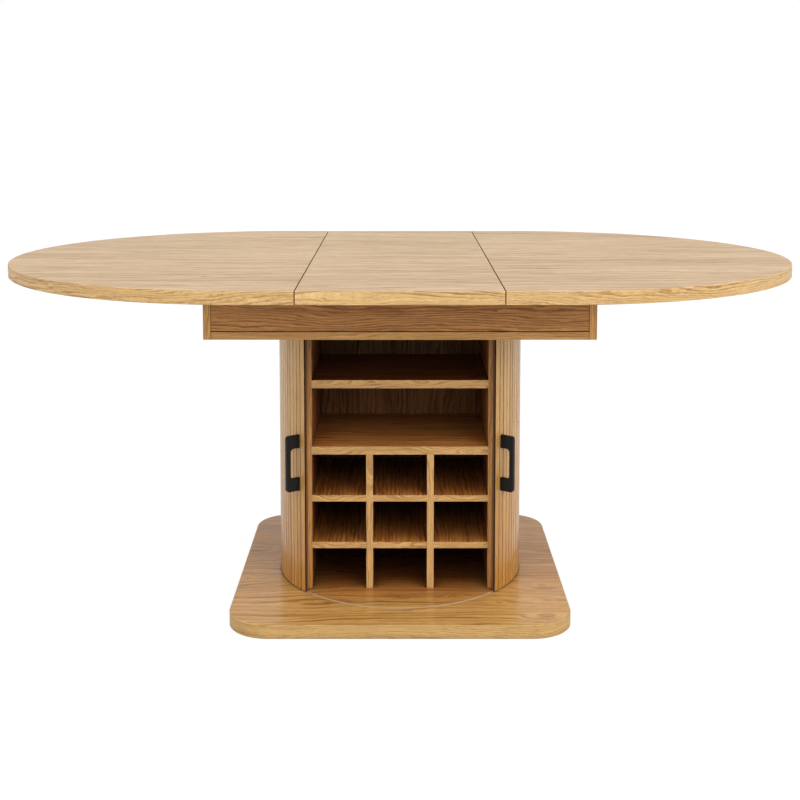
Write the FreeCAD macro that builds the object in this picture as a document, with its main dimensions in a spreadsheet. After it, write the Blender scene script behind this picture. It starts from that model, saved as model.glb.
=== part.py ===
import FreeCAD, Part

# Extension dining table on a round storage pedestal, in millimetres.
# The origin is on the floor under the middle of the table. X runs along the table, the
# cabinet opens towards -Y and Z is up. The leaf is in and both sliding doors are open.

import math
import os
import re

import Sketcher
from FreeCAD import Placement, Rotation, Vector

SIZES = {
    # Whole table
    "fit_gap": 0.3,  # between pieces that slide or lift past each other
    # Top: two halves and a leaf, with round ends
    "top_length": 1760,
    "top_width": 1160,
    "top_thickness": 26.5,
    "leaf_length": 394,
    "seam_gap": 1.5,
    "seam_arris": 0.5,
    "top_band": 1.5,
    "top_rim_arris": 1,
    # Base plate
    "base_length": 730,
    "base_depth": 730,
    "base_thickness": 30,
    "base_corner": 90,
    "base_band": 1.5,
    "base_rim_arris": 1,
    "pad_diameter": 30,
    "pad_thickness": 2,
    "pad_inset": 75,
    # Cabinet
    "cabinet_height": 600,
    "cabinet_width": 422,
    "cabinet_front": 161,  # from the middle of the table to the front edges
    "cabinet_rear": 156,
    "panel_thickness": 16,
    "shelf_thickness": 18,
    "rack_board_thickness": 14,
    "divider_thickness": 15,
    "bottle_height": 92.2,  # clear height of a rack cell
    "middle_bay": 131,  # clear height between the two shelves
    "front_band": 1,
    # Round tracks and slatted doors
    "door_gap": 5.5,  # between the cabinet's front corners and the doors
    "slat_thickness": 7,
    "slat_face": 15.2,
    "slat_gap": 0.8,
    "slat_arris": 1.5,
    "tongue_thickness": 3.6,
    "tongue_setback": 2.9,  # from the slat's face
    "tongue_inset": 1,
    "track_wall": 1.2,
    "track_floor": 1.2,
    "track_slot_depth": 4.8,
    "door_clearance": 1.5,
    "door_opening": 48.8,  # degrees from the front to each door's first slat
    "door_rear_gap": 0.16,  # degrees from the rear to each door's last slat
    "backing_thickness": 1,
    "glue_line": 0.1,
    "bumper_thickness": 1.2,
    "bumper_inset": 0.6,
    # Handles
    "handle_middle": 320.5,
    "handle_foot": 29,
    "handle_reach": 32,
    "handle_grip": 8.5,
    "handle_width": 11,
    "handle_outer_round": 5,
    "handle_inner_round": 8,
    "handle_arris": 1,
    # Apron box
    "apron_length": 800,
    "apron_depth": 741,
    "apron_height": 103.2,
    "apron_board": 16,
    "apron_arris": 0.8,
    "apron_band": 1,
    "shadow_gap": 0.9,  # between the rails and the bottom board
    # Extension slides
    "bearer_thickness": 16,
    "channel_height": 28,
    "channel_depth": 12,
    "channel_wall": 1.5,
    "channel_end_gap": 4,
    "channel_top_gap": 3,
    "slide_clearance": 0.5,
    "slide_travel": 25,  # each half's travel outward from the leaf
    "bar_overlap": 150,  # of each bar past the middle of the table
    "bar_end_gap": 4,
    "bar_setback": 2,  # of a bar inside its channel's mouth
    "batten_gap": 1,
    "batten_depth": 22,
    "batten_height": 28,
    "batten_setback": 7.5,  # from the seam
    "batten_length": 355,
    "web_height": 8,
    "notch_clearance": 1,
    # Fasteners
    "dowel_diameter": 8,
    "dowel_length": 30,
    "dowel_in_side": 10,
    "dowel_play": 0.05,
    "carcass_screw": 5,
    "carcass_screw_length": 45,
    "carcass_screw_head": 10,
    "carcass_head_height": 4,
    "carcass_head_depth": 5,
    "carcass_screw_row": 125,  # from the middle screw to the front and rear screws
    "runner_screw": 4,
    "runner_screw_length": 34,
    "runner_screw_head": 8,
    "runner_head_height": 3,
    "runner_screw_inset": 40,
    "handle_screw": 4,
    "handle_screw_length": 18,
    "handle_screw_head": 8,
    "handle_head_height": 2,
    "handle_screw_spacing": 96,
    "channel_screw": 3.2,
    "channel_screw_length": 13,
    "channel_screw_head": 6,
    "channel_screw_spacing": 300,
    "screw_play": 0.1,
}

# Places and sizes that follow from the sizes above.
DERIVED = {
    "base_top": "pad_thickness + base_thickness",
    "apron_under": "base_top + cabinet_height",
    "apron_top": "apron_under + apron_height",
    "top_under": "apron_top + fit_gap",
    "half_start": "(leaf_length + seam_gap) / 2",
    "end_radius": "top_width / 2",
    "end_middle": "top_length / 2 - end_radius",
    "inner_width": "cabinet_width - 2 * panel_thickness",
    "board_front": "cabinet_front - front_band",
    "back_inner": "cabinet_rear - panel_thickness",
    "shelf_depth": "board_front + back_inner",
    "shelf_middle": "(back_inner - board_front) / 2",
    "side_middle": "(cabinet_width - panel_thickness) / 2",
    "side_depth": "board_front + cabinet_rear",
    "side_shift": "(cabinet_rear - board_front) / 2",
    "cell_width": "(inner_width - 2 * divider_thickness) / 3",
    "cell_pitch": "cell_width + divider_thickness",
    "rack_height": "3 * bottle_height + 2 * rack_board_thickness",
    "lower_shelf_under": "base_top + rack_height",
    "upper_shelf_under": "lower_shelf_under + shelf_thickness + middle_bay",
    "backing_inner": "sqrt(cabinet_width ^ 2 / 4 + cabinet_front ^ 2) + door_gap",
    "backing_outer": "backing_inner + backing_thickness",
    "slat_inner": "backing_outer + glue_line",
    "slat_radius": "slat_inner + slat_thickness",
    "door_span": "180 - door_opening - door_rear_gap",
    "slat_count": "round(door_span * pi / 180 * slat_radius / slat_face)",
    "slat_pitch": "door_span / slat_count",
    "slat_half": "slat_radius * tan(slat_pitch / 2) - slat_gap / 2",
    "slat_half_inner": "slat_inner * tan(slat_pitch / 2) - slat_gap / 2",
    "tongue_outer": "slat_radius - tongue_setback",
    "tongue_inner": "tongue_outer - tongue_thickness",
    "slot_outer": "tongue_outer + fit_gap",
    "slot_inner": "tongue_inner - fit_gap",
    "track_outer": "slot_outer + track_wall",
    "track_inner": "slot_inner - track_wall",
    "track_depth": "track_slot_depth + track_floor",
    "tongue_reach": "track_slot_depth - fit_gap",
    "door_under": "base_top + door_clearance",
    "door_height": "cabinet_height - 2 * door_clearance",
    "tongue_under": "base_top - tongue_reach",
    "tongue_height": "cabinet_height + 2 * tongue_reach",
    "handle_angle": "door_opening + slat_pitch * 1.5",
    "handle_height": "handle_screw_spacing + handle_foot",
    "handle_under": "handle_middle - handle_height / 2",
    "rail_length": "apron_length - 2 * apron_board",
    "board_edge": "apron_depth / 2 - apron_band",
    "floor_top": "apron_under + apron_board",
    "rail_under": "floor_top + shadow_gap",
    "rail_height": "apron_top - rail_under",
    "rail_middle": "(apron_depth - apron_board) / 2",
    "rail_inner": "apron_depth / 2 - apron_board",
    "channel_length": "rail_length - 2 * channel_end_gap",
    "channel_middle": "top_under - channel_top_gap - channel_height / 2",
    "bar_height": "channel_height - 2 * channel_wall - 2 * slide_clearance",
    "bar_back": "rail_inner - channel_wall - slide_clearance",
    "bar_front": "rail_inner - channel_depth + bar_setback",
    "bar_end": "rail_length / 2 - slide_travel - bar_end_gap",
    "batten_start": "half_start + batten_setback",
    "batten_end": "batten_start + batten_length",
    "batten_outer": "rail_inner - channel_depth - batten_gap",
    "batten_inner": "batten_outer - batten_depth",
    "batten_middle": "(batten_outer + batten_inner) / 2",
    "bearer_outer": "2 * batten_middle - rail_inner",
    "batten_under": "top_under - batten_height",
}

WORD = re.compile(r"[a-z]+_[a-z_]+")
QUARTER_TURN = math.pi / 2
TINY = 1e-3  # tells apart two places or finds an edge without extent
SHORT = 1  # no edge that is picked out for a fillet or chamfer is shorter than this

doc = FreeCAD.newDocument("StorageTable")
sheet = doc.addObject("Spreadsheet::Sheet", "Sizes")
for row, (name, number) in enumerate(SIZES.items(), start=1):
    sheet.set(f"A{row}", str(number))
    sheet.setAlias(f"A{row}", name)
doc.recompute()


def bound(text):
    """The same sum written with the sheet's cells in place of the names."""
    def cell(match):
        name = match.group()
        return f"({bound(DERIVED[name])})" if name in DERIVED else f"Sizes.{name}"
    return WORD.sub(cell, str(text))


def value(text):
    """The sum's present value."""
    return float(sheet.evalExpression(bound(text)))


def origin_feature(body, role):
    return next(item for item in body.Origin.OriginFeatures if item.Role == role)


def new_body(label):
    body = doc.addObject("PartDesign::Body", label)
    body.Label = label
    return body


def place(sub_part, x="0", y="0", z="0", turn=None):
    """Puts a sub-part at its place, turned about Z by the angle given as a sum."""
    if turn is not None:
        sub_part.Placement.Rotation = Rotation(Vector(0, 0, 1), value(turn))
    for axis, text in (("x", x), ("y", y), ("z", z)):
        sub_part.setExpression(f"Placement.Base.{axis}", bound(text))


def new_sketch(body, role, rise="0"):
    """An empty sketch on one of the body's own planes, raised along its normal."""
    sketch = body.newObject("Sketcher::SketchObject", body.Label + "_sketch")
    sketch.AttachmentSupport = [(origin_feature(body, role), "")]
    sketch.MapMode = "FlatFace"
    sketch.setExpression("AttachmentOffset.Base.z", bound(rise))
    return sketch


def tie(sketch, kind, first, point, text):
    """Ties a coordinate of a point, or a radius, to the sheet."""
    if kind == "Radius":
        row = sketch.addConstraint(Sketcher.Constraint(kind, first, value(text)))
    else:
        row = sketch.addConstraint(Sketcher.Constraint(kind, -1, 1, first, point, value(text)))
    sketch.setExpression(f"Constraints[{row}]", bound(text))


def draw_polygon(sketch, corners):
    """A closed outline through corners given as pairs of sums."""
    first = sketch.GeometryCount
    points = [Vector(value(across), value(up), 0) for across, up in corners]
    for start, end in zip(points, points[1:] + points[:1]):
        sketch.addGeometry(Part.LineSegment(start, end))
    for number, (across, up) in enumerate(corners):
        following = (number + 1) % len(corners)
        ends = (first + number, 2, first + following, 1)
        sketch.addConstraint(Sketcher.Constraint("Coincident", *ends))
        tie(sketch, "DistanceX", first + number, 1, across)
        tie(sketch, "DistanceY", first + number, 1, up)
    return sketch


def draw_rectangle(sketch, length, depth):
    """A rectangle with its middle on the sketch's origin."""
    low, high, near, far = f"-({length}) / 2", f"({length}) / 2", f"-({depth}) / 2", f"({depth}) / 2"
    return draw_polygon(sketch, [(low, near), (high, near), (high, far), (low, far)])


def draw_circles(sketch, diameter, spots):
    for across, up in spots:
        middle = Vector(value(across), value(up), 0)
        circle = sketch.addGeometry(Part.Circle(middle, Vector(0, 0, 1), value(diameter) / 2))
        tie(sketch, "DistanceX", circle, 3, across)
        tie(sketch, "DistanceY", circle, 3, up)
        tie(sketch, "Radius", circle, 0, f"({diameter}) / 2")
    return sketch


def draw_ring(sketch, inner, outer):
    for radius in (inner, outer):
        draw_circles(sketch, f"2 * ({radius})", [("0", "0")])
    return sketch


def draw_rounded_rectangle(sketch, length, depth, corner):
    """A rectangle about the sketch's origin, with the same round at each corner."""
    arcs = []
    for number, (right, back) in enumerate(((1, 1), (-1, 1), (-1, -1), (1, -1))):
        across = f"{right} * (({length}) / 2 - ({corner}))"
        up = f"{back} * (({depth}) / 2 - ({corner}))"
        circle = Part.Circle(Vector(value(across), value(up), 0), Vector(0, 0, 1), value(corner))
        start = number * QUARTER_TURN
        arc = sketch.addGeometry(Part.ArcOfCircle(circle, start, start + QUARTER_TURN))
        aligned = ("Horizontal", "Vertical") if number % 2 == 0 else ("Vertical", "Horizontal")
        sketch.addConstraint(Sketcher.Constraint(aligned[0], arc, 1, arc, 3))
        sketch.addConstraint(Sketcher.Constraint(aligned[1], arc, 2, arc, 3))
        tie(sketch, "DistanceX", arc, 3, across)
        tie(sketch, "DistanceY", arc, 3, up)
        tie(sketch, "Radius", arc, 0, corner)
        arcs.append(arc)
    for arc, following in zip(arcs, arcs[1:] + arcs[:1]):
        ends = (sketch.getPoint(arc, 2), sketch.getPoint(following, 1))
        line = sketch.addGeometry(Part.LineSegment(*ends))
        sketch.addConstraint(Sketcher.Constraint("Coincident", arc, 2, line, 1))
        sketch.addConstraint(Sketcher.Constraint("Coincident", line, 2, following, 1))
    return sketch


def draw_half_top(sketch, radius):
    """Half of the top: straight sides from the seam, then a round end."""
    seam, middle, reach = value("half_start"), value("end_middle"), value(radius)
    round_end = Part.Circle(Vector(middle, 0, 0), Vector(0, 0, 1), reach)
    near = sketch.addGeometry(Part.LineSegment(Vector(seam, -reach, 0), Vector(middle, -reach, 0)))
    arc = sketch.addGeometry(Part.ArcOfCircle(round_end, -QUARTER_TURN, QUARTER_TURN))
    far = sketch.addGeometry(Part.LineSegment(Vector(middle, reach, 0), Vector(seam, reach, 0)))
    butt = sketch.addGeometry(Part.LineSegment(Vector(seam, reach, 0), Vector(seam, -reach, 0)))
    for ends in ((near, 2, arc, 1), (arc, 2, far, 1), (far, 2, butt, 1), (butt, 2, near, 1)):
        sketch.addConstraint(Sketcher.Constraint("Coincident", *ends))
    sketch.addConstraint(Sketcher.Constraint("Horizontal", near))
    sketch.addConstraint(Sketcher.Constraint("Horizontal", far))
    sketch.addConstraint(Sketcher.Constraint("Vertical", arc, 1, arc, 3))
    sketch.addConstraint(Sketcher.Constraint("Vertical", arc, 2, arc, 3))
    sketch.addConstraint(Sketcher.Constraint("Vertical", butt))
    tie(sketch, "DistanceX", arc, 3, "end_middle")
    tie(sketch, "DistanceY", arc, 3, "0")
    tie(sketch, "Radius", arc, 0, radius)
    tie(sketch, "DistanceX", near, 1, "half_start")
    return sketch


def pad(body, sketch, length, symmetric=False):
    feature = body.newObject("PartDesign::Pad", body.Label + "_pad")
    feature.Profile = sketch
    feature.setExpression("Length", bound(length))
    if symmetric:
        feature.SideType = "Symmetric"
    return feature


def cut(body, sketch, depth, along_normal=False):
    """Cuts into the solid below the sketch, or above it where along_normal is set."""
    doc.recompute()
    before = body.Shape.Volume
    feature = body.newObject("PartDesign::Pocket", body.Label + "_cut")
    feature.Profile = sketch
    feature.Reversed = along_normal
    feature.setExpression("Length", bound(depth))
    doc.recompute()
    if body.Shape.Volume >= before:
        raise RuntimeError(f"a cut in {body.Label} removes nothing")
    return feature


def edges_where(shape, wanted):
    """The names of the edges that pass a test on their bounding box."""
    return [f"Edge{n}" for n, edge in enumerate(shape.Edges, start=1) if wanted(edge.BoundBox)]


def dress(body, kind, size, wanted=None):
    """A fillet or chamfer on the edges that pass the test, or on all of them."""
    doc.recompute()
    tip = body.Tip
    feature = body.newObject(f"PartDesign::{kind}", body.Label + "_" + kind.lower())
    names = edges_where(tip.Shape, wanted) if wanted else ["Edge1"]
    feature.Base = (tip, names)
    feature.UseAllEdges = wanted is None
    feature.setExpression("Radius" if kind == "Fillet" else "Size", bound(size))
    return feature


def board(label, length, depth, height, x="0", y="0", z="0", arris=None):
    """A rectangular board; x and y place its middle and z its underside."""
    body = new_body(label)
    pad(body, draw_rectangle(new_sketch(body, "XY_Plane"), length, depth), height)
    if arris:
        dress(body, "Chamfer", arris)
    place(body, x, y, z)
    return body


def drill(body, role, diameter, depth, spots, rise="0", along_normal=False):
    """Round holes that start on a plane of the body."""
    return cut(body, draw_circles(new_sketch(body, role, rise), diameter, spots), depth, along_normal)


def grid(*axes):
    """Every spot of a grid given by the sums along each axis."""
    spots = [()]
    for axis in axes:
        spots = [spot + (text,) for spot in spots for text in axis]
    return spots


def mirrored(text):
    return (f"-({text})", text)


def group(label, solids):
    """Identical small pieces as separate solids of one sub-part."""
    feature = doc.addObject("Part::Feature", label)
    feature.Label = label
    feature.Shape = Part.makeCompound(solids)
    return feature


def at(solid, spot, direction=Vector(0, 0, 1)):
    """A copy of a solid made along Z, turned along a direction and put at a spot of sums."""
    copy = solid.copy()
    copy.Placement = Placement(Vector(*[value(text) for text in spot]),
                               Rotation(Vector(0, 0, 1), direction))
    return copy


def pan_screw(diameter, length, head_diameter, head_height):
    """A pan-head screw along Z, with the underside of its head at zero."""
    shank = Part.makeCylinder(value(diameter) / 2, value(length))
    head = Part.makeCylinder(value(head_diameter) / 2, value(head_height), Vector(0, 0, -value(head_height)))
    return shank.fuse(head).removeSplitter()


# ---------------------------------------------------------------- base plate and tracks

SCREW_X = mirrored("side_middle")
SCREW_Y = ("-carcass_screw_row", "0", "carcass_screw_row")
SCREW_HOLE = "carcass_screw + 2 * screw_play"
HEAD_HOLE = "carcass_screw_head + 2 * screw_play"
TRACK_RING = ("track_inner", "track_outer")
BASE_CORE = ("base_length - 2 * base_band", "base_depth - 2 * base_band", "base_corner - base_band")


def is_upright(box):
    return box.ZLength > SHORT and box.XLength < TINY and box.YLength < TINY


def base_plate():
    """The base board, cut for the track ring and for the screws into the cabinet's sides."""
    body = new_body("base_plate")
    outline = draw_rounded_rectangle(new_sketch(body, "XY_Plane"), *BASE_CORE)
    pad(body, outline, "base_thickness")
    cut(body, draw_ring(new_sketch(body, "XY_Plane", "base_thickness"), *TRACK_RING), "track_depth")
    spots = grid(SCREW_X, SCREW_Y)
    drill(body, "XY_Plane", SCREW_HOLE, "base_thickness", spots, along_normal=True)
    drill(body, "XY_Plane", HEAD_HOLE, "carcass_head_depth", spots, along_normal=True)
    place(body, z="pad_thickness")


def base_edging():
    """The band round the base board, its outer edges eased."""
    body = new_body("base_edging")
    outline = draw_rounded_rectangle(new_sketch(body, "XY_Plane"), "base_length", "base_depth", "base_corner")
    pad(body, outline, "base_thickness")
    inner = draw_rounded_rectangle(new_sketch(body, "XY_Plane"), *BASE_CORE)
    cut(body, inner, "base_thickness", along_normal=True)
    reach_x, reach_y = value("base_length / 2"), value("base_depth / 2")

    def is_outer_rim(box):
        beyond_x = abs(max(-box.XMin, box.XMax) - reach_x)
        beyond_y = abs(max(-box.YMin, box.YMax) - reach_y)
        return min(beyond_x, beyond_y) < TINY and box.ZLength < TINY

    dress(body, "Chamfer", "base_rim_arris", is_outer_rim)
    place(body, z="pad_thickness")


def track(label, under, open_up):
    """A ring-shaped channel that the door slats' tongues run in."""
    body = new_body(label)
    pad(body, draw_ring(new_sketch(body, "XY_Plane"), *TRACK_RING), "track_depth")
    slot = new_sketch(body, "XY_Plane", "track_depth" if open_up else "0")
    cut(body, draw_ring(slot, "slot_inner", "slot_outer"), "track_slot_depth", along_normal=not open_up)
    place(body, z=under)


def glide_pads():
    pad_disc = Part.makeCylinder(value("pad_diameter") / 2, value("pad_thickness"))
    spots = grid(mirrored("base_length / 2 - pad_inset"), mirrored("base_depth / 2 - pad_inset"), ("0",))
    group("glide_pads", [at(pad_disc, spot) for spot in spots])


base_plate()
base_edging()
track("lower_track", "base_top - track_depth", open_up=True)
track("upper_track", "apron_under", open_up=False)
glide_pads()


# ---------------------------------------------------------------- cabinet

DOWEL_HOLE = "dowel_diameter + 2 * dowel_play"
SHELF_MIDDLES = [f"{under} + shelf_thickness / 2" for under in ("lower_shelf_under", "upper_shelf_under")]
DOWEL_Y = mirrored("carcass_screw_row - 2 * dowel_diameter")


def side_panel(label, side):
    """A side of the cabinet, bored for its screws at both ends and for the shelf dowels."""
    body = board(label, "panel_thickness", "side_depth", "cabinet_height",
                 x=f"{side} * side_middle", y="side_shift", z="base_top")
    ends = [("0", f"{y} - side_shift") for y in SCREW_Y]
    into_panel = "carcass_screw_length - base_thickness + carcass_head_depth + screw_play"
    drill(body, "XY_Plane", SCREW_HOLE, into_panel, ends, along_normal=True)
    drill(body, "XY_Plane", SCREW_HOLE, "carcass_screw_length - apron_board + screw_play", ends,
          rise="cabinet_height")
    heights = [f"{middle} - base_top" for middle in SHELF_MIDDLES]
    spots = [(f"{y} - side_shift", z) for y in DOWEL_Y for z in heights]
    drill(body, "YZ_Plane", DOWEL_HOLE, "dowel_in_side + dowel_play", spots,
          rise=f"-({side}) * panel_thickness / 2", along_normal=side > 0)


def shelf(label, under):
    """A full-width shelf, bored at its ends for the dowels."""
    body = board(label, "inner_width", "shelf_depth", "shelf_thickness", y="shelf_middle", z=under)
    spots = [(f"{y} - shelf_middle", "shelf_thickness / 2") for y in DOWEL_Y]
    depth = "dowel_length - dowel_in_side + dowel_play"
    drill(body, "YZ_Plane", DOWEL_HOLE, depth, spots, rise="inner_width / 2")
    drill(body, "YZ_Plane", DOWEL_HOLE, depth, spots, rise="-inner_width / 2", along_normal=True)


def band(x, z, length, height):
    """An edge band on a board's front edge; x is its middle and z its underside."""
    box = Part.makeBox(value(length), value("front_band"), value(height))
    return at(box, (f"{x} - ({length}) / 2", "-cabinet_front", z))


def cabinet():
    for label, side in (("left_side_panel", -1), ("right_side_panel", 1)):
        side_panel(label, side)
    board("back_panel", "inner_width", "panel_thickness", "cabinet_height",
          y="cabinet_rear - panel_thickness / 2", z="base_top")
    shelf("lower_shelf", "lower_shelf_under")
    shelf("upper_shelf", "upper_shelf_under")
    for label, side in (("left_rack_divider", -1), ("right_rack_divider", 1)):
        board(label, "divider_thickness", "shelf_depth", "rack_height",
              x=f"{side} * cell_pitch / 2", y="shelf_middle", z="base_top")


COLUMNS = {"left": "-cell_pitch", "middle": "0", "right": "cell_pitch"}
LEVELS = {"lower": "base_top + bottle_height",
          "upper": "base_top + 2 * bottle_height + rack_board_thickness"}


def rack_boards():
    for level, under in LEVELS.items():
        for column, x in COLUMNS.items():
            board(f"rack_board_{level}_{column}", "cell_width", "shelf_depth", "rack_board_thickness",
                  x=x, y="shelf_middle", z=under)


def front_bands():
    sides = mirrored("side_middle")
    group("side_panel_bands", [band(x, "base_top", "panel_thickness", "cabinet_height") for x in sides])
    group("shelf_bands", [band("0", under, "inner_width", "shelf_thickness")
                          for under in ("lower_shelf_under", "upper_shelf_under")])
    group("divider_bands", [band(x, "base_top", "divider_thickness", "rack_height")
                            for x in mirrored("cell_pitch / 2")])
    group("rack_board_bands", [band(x, under, "cell_width", "rack_board_thickness")
                               for under in LEVELS.values() for x in COLUMNS.values()])


def cabinet_fasteners():
    """Dowels in the shelf ends, and screws through the base and the apron into the sides."""
    dowel = Part.makeCylinder(value("dowel_diameter") / 2, value("dowel_length"))
    dowels = []
    for side in (-1, 1):
        start = f"{side} * (inner_width / 2 + dowel_in_side)"
        for spot in grid((start,), DOWEL_Y, SHELF_MIDDLES):
            dowels.append(at(dowel, spot, Vector(-side, 0, 0)))
    group("shelf_dowels", dowels)
    screw = pan_screw("carcass_screw", "carcass_screw_length", "carcass_screw_head", "carcass_head_height")
    low = grid(SCREW_X, SCREW_Y, ("pad_thickness + carcass_head_depth",))
    group("base_screws", [at(screw, spot) for spot in low])
    high = grid(SCREW_X, SCREW_Y, ("floor_top",))
    group("cabinet_top_screws", [at(screw, spot, Vector(0, 0, -1)) for spot in high])


cabinet()
rack_boards()
front_bands()
cabinet_fasteners()


# ---------------------------------------------------------------- apron box

CHANNEL_SCREW_X = ("-channel_screw_spacing", "0", "channel_screw_spacing")
CHANNEL_HOLE = "channel_screw + 2 * screw_play"
CHANNEL_BORE = "channel_screw_length - channel_wall + screw_play"
RAIL_DOWEL_Z = ("rail_height / 4", "rail_height * 3 / 4")


def apron_end(label, side):
    """An end of the apron, notched for the battens and bored for the rail dowels."""
    body = board(label, "apron_board", "2 * board_edge", "apron_height",
                 x=f"{side} * (apron_length - apron_board) / 2", z="apron_under")
    for end in (-1, 1):
        notch = new_sketch(body, "YZ_Plane", "-apron_board / 2")
        outer, inner = "batten_outer + notch_clearance", "batten_inner - notch_clearance"
        low = "batten_under - notch_clearance - apron_under"
        draw_polygon(notch, [(f"{end} * ({outer})", low), (f"{end} * ({inner})", low),
                             (f"{end} * ({inner})", "apron_height"),
                             (f"{end} * ({outer})", "apron_height")])
        cut(body, notch, "apron_board", along_normal=True)
    spots = grid(mirrored("rail_middle"), [f"rail_under - apron_under + {z}" for z in RAIL_DOWEL_Z])
    drill(body, "YZ_Plane", DOWEL_HOLE, "dowel_in_side + dowel_play", spots,
          rise=f"-({side}) * apron_board / 2", along_normal=side > 0)
    edge = value("board_edge")
    dress(body, "Chamfer", "apron_arris",
          lambda box: is_upright(box) and abs(abs(box.YMin) - edge) < TINY)


def bore_for_channel(body, under, face, along_normal):
    """Pilot holes for a channel's screws, from a face at a distance along -Y."""
    spots = [(x, f"channel_middle - {under}") for x in CHANNEL_SCREW_X]
    drill(body, "XZ_Plane", CHANNEL_HOLE, CHANNEL_BORE, spots, rise=face, along_normal=along_normal)


def apron_rail(label, side):
    """A long side of the apron, bored for the dowels in its ends and for the channel's screws."""
    body = board(label, "rail_length", "apron_board", "rail_height",
                 y=f"{side} * rail_middle", z="rail_under", arris="apron_arris")
    spots = [("0", z) for z in RAIL_DOWEL_Z]
    depth = "dowel_length - dowel_in_side + dowel_play"
    drill(body, "YZ_Plane", DOWEL_HOLE, depth, spots, rise="rail_length / 2")
    drill(body, "YZ_Plane", DOWEL_HOLE, depth, spots, rise="-rail_length / 2", along_normal=True)
    bore_for_channel(body, "rail_under", f"{side} * apron_board / 2", along_normal=side < 0)


def slide_bearer(label, side):
    """An inner board that carries the channel of the other half of the top."""
    body = board(label, "rail_length", "bearer_thickness", "apron_top - floor_top",
                 y=f"{side} * (bearer_outer - bearer_thickness / 2)", z="floor_top")
    bore_for_channel(body, "floor_top", f"-({side}) * bearer_thickness / 2", along_normal=side > 0)


def apron_bottom_board():
    """The board between cabinet and apron, grooved below for the upper track."""
    body = board("apron_bottom_board", "rail_length", "2 * board_edge", "apron_board", z="apron_under")
    cut(body, draw_ring(new_sketch(body, "XY_Plane"), *TRACK_RING), "track_depth", along_normal=True)
    drill(body, "XY_Plane", SCREW_HOLE, "apron_board", grid(SCREW_X, SCREW_Y), along_normal=True)


def apron_edge_bands():
    """Bands on the front and rear edges of the two ends and of the bottom board."""
    bands = []
    for y in ("-apron_depth / 2", "board_edge"):
        end = Part.makeBox(value("apron_board"), value("apron_band"), value("apron_height"))
        bottom = Part.makeBox(value("rail_length"), value("apron_band"), value("apron_board"))
        bands.append(at(end, ("-apron_length / 2", y, "apron_under")))
        bands.append(at(end, ("rail_length / 2", y, "apron_under")))
        bands.append(at(bottom, ("-rail_length / 2", y, "apron_under")))
    group("apron_edge_bands", bands)


def apron_dowels():
    dowel = Part.makeCylinder(value("dowel_diameter") / 2, value("dowel_length"))
    dowels = []
    for side in (-1, 1):
        start = f"{side} * (rail_length / 2 + dowel_in_side)"
        heights = [f"rail_under + {z}" for z in RAIL_DOWEL_Z]
        for spot in grid((start,), mirrored("rail_middle"), heights):
            dowels.append(at(dowel, spot, Vector(-side, 0, 0)))
    group("apron_dowels", dowels)


apron_end("apron_left_end", -1)
apron_end("apron_right_end", 1)
apron_rail("apron_front_rail", -1)
apron_rail("apron_rear_rail", 1)
apron_bottom_board()
apron_edge_bands()
apron_dowels()
slide_bearer("front_slide_bearer", -1)
slide_bearer("rear_slide_bearer", 1)


# ---------------------------------------------------------------- extension slides


def channel_outline(back, facing):
    """A channel's section with its back at a distance and its open side facing in or out."""
    def depth(text):
        return f"{back} + {facing} * ({text})"
    half, lip = "channel_height / 2", "channel_height / 2 - channel_wall"
    return [(depth("0"), f"-{half}"), (depth("channel_depth"), f"-{half}"),
            (depth("channel_depth"), f"-({lip})"), (depth("channel_wall"), f"-({lip})"),
            (depth("channel_wall"), lip), (depth("channel_depth"), lip),
            (depth("channel_depth"), half), (depth("0"), half)]


def slide_channels(label, back, facing):
    """A front and a rear channel, the rear one being the front one's mirror image."""
    body = new_body(label)
    sketch = new_sketch(body, "YZ_Plane")
    for outline in (channel_outline(back, facing), channel_outline(f"-({back})", -facing)):
        draw_polygon(sketch, outline)
    pad(body, sketch, "channel_length", symmetric=True)
    for side in (-1, 1):
        countersink(body, f"{side} * ({back} + {facing} * channel_wall)", side * facing)
    place(body, z="channel_middle")


def countersink(body, distance, facing):
    """Countersunk holes through a channel's back, from its inner face at a distance along Y."""
    doc.recompute()
    inner_face = new_sketch(body, "XZ_Plane", f"-({distance})")
    draw_circles(inner_face, CHANNEL_HOLE, [(x, "0") for x in CHANNEL_SCREW_X])
    doc.recompute()
    before = body.Shape.Volume
    hole = body.newObject("PartDesign::Hole", body.Label + "_hole")
    hole.Profile = inner_face
    hole.Reversed = facing > 0
    doc.recompute()
    hole.ThreadType = "None"
    hole.DepthType = "Dimension"
    hole.HoleCutType = "Countersink"
    hole.HoleCutCustomValues = True
    hole.HoleCutCountersinkAngle = 90
    hole.setExpression("Diameter", bound(CHANNEL_HOLE))
    hole.setExpression("Depth", bound("2 * channel_wall"))
    hole.setExpression("HoleCutDiameter", bound("channel_screw_head + 2 * screw_play"))
    doc.recompute()
    if body.Shape.Volume >= before:
        raise RuntimeError(f"a hole in {body.Label} removes nothing")


def slide_channel_screws():
    """Countersunk screws through the channels' backs into the rails and the bearers."""
    radius, head = value("channel_screw") / 2, value("channel_screw_head") / 2
    cone = Part.makeCone(head, radius, head - radius)
    shank = Part.makeCylinder(radius, value("channel_screw_length"))
    screw = cone.fuse(shank).removeSplitter()
    screws = []
    for back, facing in (("rail_inner", -1), ("bearer_outer", 1)):
        for side in (-1, 1):
            inner_face = f"{side} * ({back} + {facing} * channel_wall)"
            spots = grid(CHANNEL_SCREW_X, (inner_face,), ("channel_middle",))
            screws += [at(screw, spot, Vector(0, -side * facing, 0)) for spot in spots]
    group("slide_channel_screws", screws)


slide_channels("left_slide_channels", "rail_inner", -1)
slide_channels("right_slide_channels", "bearer_outer", 1)
slide_channel_screws()


# ---------------------------------------------------------------- sliding top halves

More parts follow.
